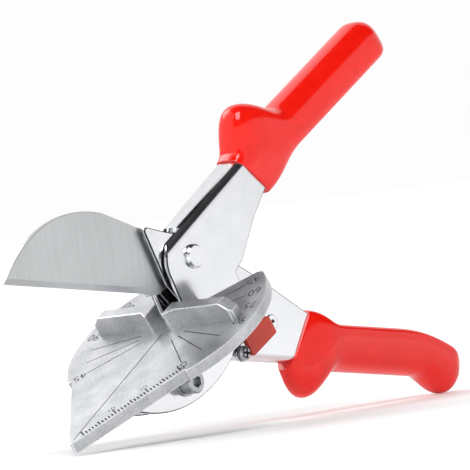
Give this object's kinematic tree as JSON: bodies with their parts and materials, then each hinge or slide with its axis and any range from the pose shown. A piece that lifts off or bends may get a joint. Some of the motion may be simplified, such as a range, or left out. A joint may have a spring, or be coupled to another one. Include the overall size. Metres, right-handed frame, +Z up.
{
  "type": "mitre shears",
  "caption": "Hand-held mitre shears with a straight blade closing on a protractor anvil with fences, folded steel levers with dipped grips and a thumb latch.",
  "frame": {"origin": "centre of the box's base, on the surface that the anvil's tip and the lower grip stand on", "axes": "+X towards the handles' ends, +Y away from the side with the latch, +Z up"},
  "size_m": [0.2384, 0.082, 0.1439],
  "materials": {
    "chrome": "bright plated",
    "cast_anvil": "cast, satin",
    "blade_steel": "ground",
    "screw_steel": "zinc plated",
    "spring_steel": "oiled wire",
    "brass": "plain",
    "red_grip": "glossy dipped",
    "latch_sleeve": "dull"
  },
  "bodies": {
    "anvil_lever": {"upper_channel": "chrome", "upper_grip": "red_grip", "anvil": "cast_anvil", "anvil_screw": "screw_steel", "anvil_washers": "screw_steel", "anvil_nut": "screw_steel", "pivot_rivet": "chrome", "pivot_washers": "brass"},
    "blade_lever": {"lower_channel": "chrome", "lower_grip": "red_grip", "blade": "blade_steel", "near_packing_plate": "screw_steel", "far_packing_plate": "screw_steel", "blade_rivets": "screw_steel", "spring_pin": "screw_steel", "opening_spring": "spring_steel", "latch_screw": "screw_steel", "latch_bush": "screw_steel", "latch_nut": "screw_steel"},
    "latch": {"latch_lever": "chrome", "latch_sleeve": "latch_sleeve"}
  },
  "joints": [
    {"name": "blade_close", "type": "hinge", "parent": "anvil_lever", "child": "blade_lever", "pos_m": [-0.0242, 0, 0.06501], "axis": [0, -1, 0], "range_deg": [0, 39.5], "stiffness_Nm_per_rad": 0.3, "springref_deg": -40.11, "deforming": ["opening_spring"]},
    {"name": "latch_swing", "type": "hinge", "parent": "blade_lever", "child": "latch", "pos_m": [-0.00491, -0.00575, 0.02725], "axis": [0, -1, 0], "range_deg": [0, 30]}
  ]
}
